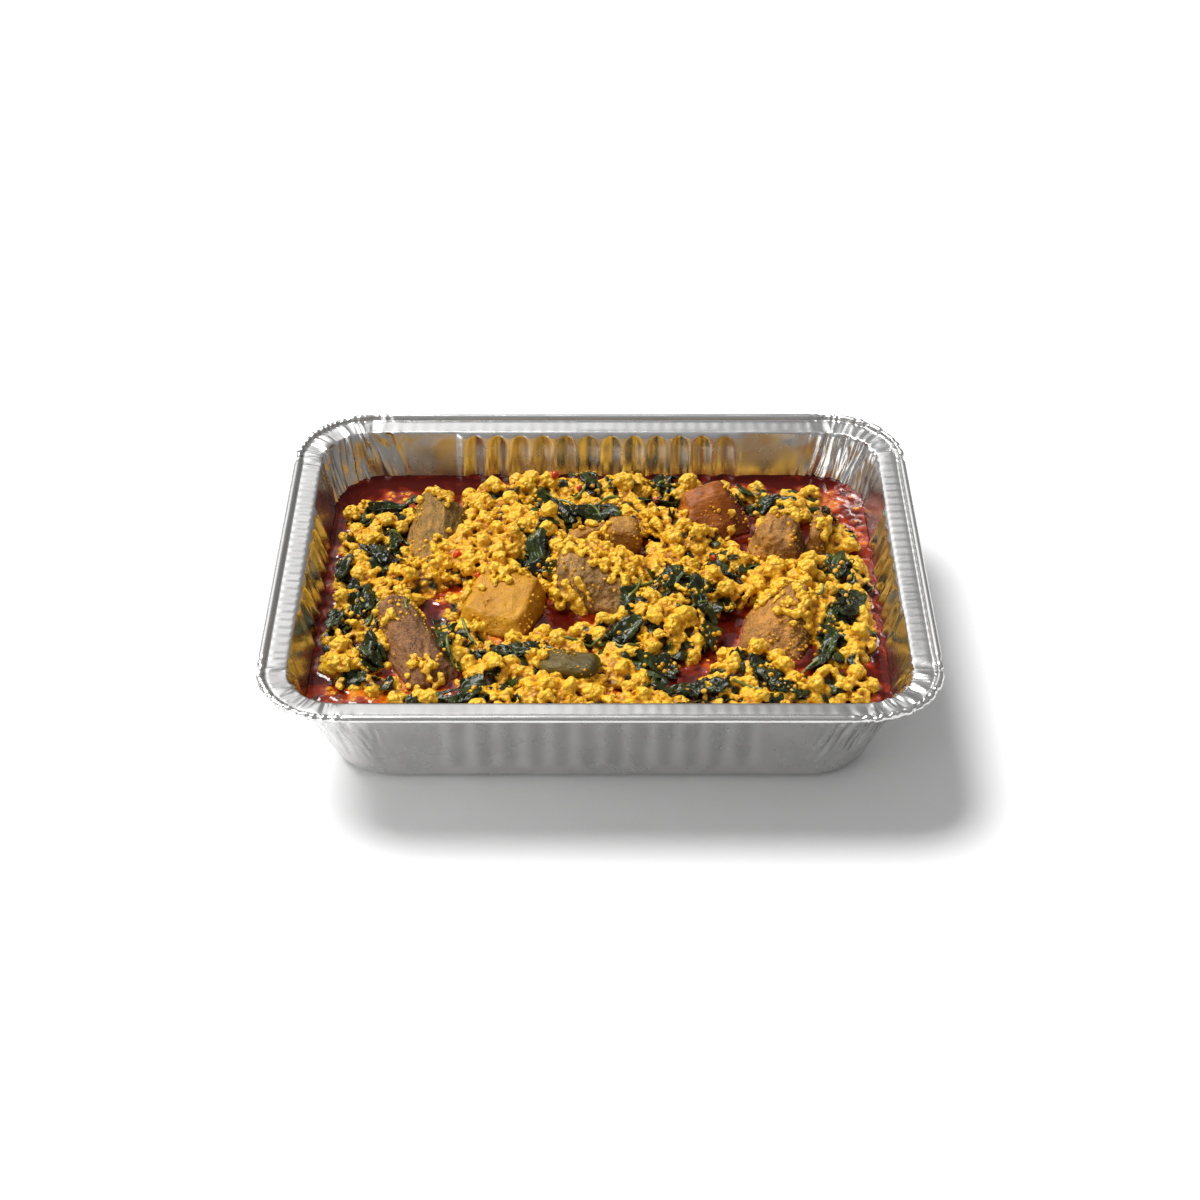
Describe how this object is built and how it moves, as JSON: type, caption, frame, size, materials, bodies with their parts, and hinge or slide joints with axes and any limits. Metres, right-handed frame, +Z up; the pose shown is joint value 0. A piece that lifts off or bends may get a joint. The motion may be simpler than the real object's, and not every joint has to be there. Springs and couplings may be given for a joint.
{
  "type": "foil tray meal",
  "caption": "Rectangular pressed foil tray with ribbed walls and a rolled rim, filled with a lumpy seed curd and leaf stew with pieces of meat in red oil.",
  "frame": {"origin": "under the middle of the tray's floor, on the surface that it stands on", "axes": "+X along the tray's length, towards the right seen from its front; +Y from the front long side to the back one; +Z up"},
  "size_m": [0.324, 0.264, 0.0645],
  "materials": {
    "foil": "bright pressed foil",
    "red_oil": "glossy deep red oil over stew",
    "seed_curd": "moist lumpy golden yellow curd",
    "leaf_green": "wet dark green cooked leaf",
    "meat_back_left": "wet cooked meat, olive brown",
    "meat_front_left": "wet cooked meat, brown",
    "meat_golden": "smooth glossy skin, golden",
    "meat_centre": "wet cooked meat, grey brown",
    "meat_amber": "smooth glossy gelatinous meat, amber",
    "meat_fibrous": "wet fibrous meat, brown with amber",
    "meat_fibrous_slab": "wet fibrous meat, brown",
    "meat_front_right": "wet cooked meat, tan",
    "meat_olive": "smooth wet meat, olive",
    "meat_knuckle": "wet meat and bone end, tan"
  },
  "bodies": {
    "root": {"foil_tray": "foil", "palm_oil_stew": "red_oil", "egusi_heap_01": "seed_curd", "egusi_heap_02": "seed_curd", "egusi_heap_03": "seed_curd", "egusi_heap_04": "seed_curd", "meat_back_left": "meat_back_left", "meat_front_left": "meat_front_left", "meat_golden": "meat_golden", "meat_centre": "meat_centre", "meat_amber": "meat_amber", "meat_fibrous": "meat_fibrous", "meat_fibrous_slab": "meat_fibrous_slab", "meat_front_right": "meat_front_right", "meat_olive": "meat_olive", "meat_knuckle": "meat_knuckle", "leaf_01": "leaf_green", "leaf_02": "leaf_green", "leaf_03": "leaf_green", "leaf_04": "leaf_green", "leaf_05": "leaf_green", "leaf_06": "leaf_green", "leaf_07": "leaf_green", "leaf_08": "leaf_green", "leaf_09": "leaf_green", "leaf_10": "leaf_green", "leaf_11": "leaf_green", "leaf_12": "leaf_green", "leaf_13": "leaf_green", "leaf_14": "leaf_green", "leaf_15": "leaf_green", "leaf_16": "leaf_green", "leaf_17": "leaf_green", "leaf_18": "leaf_green", "leaf_19": "leaf_green", "leaf_20": "leaf_green", "leaf_21": "leaf_green", "leaf_22": "leaf_green", "leaf_23": "leaf_green", "leaf_24": "leaf_green", "leaf_25": "leaf_green", "leaf_26": "leaf_green", "leaf_27": "leaf_green", "leaf_28": "leaf_green", "leaf_29": "leaf_green", "leaf_30": "leaf_green", "leaf_31": "leaf_green", "leaf_32": "leaf_green"}
  },
  "joints": []
}
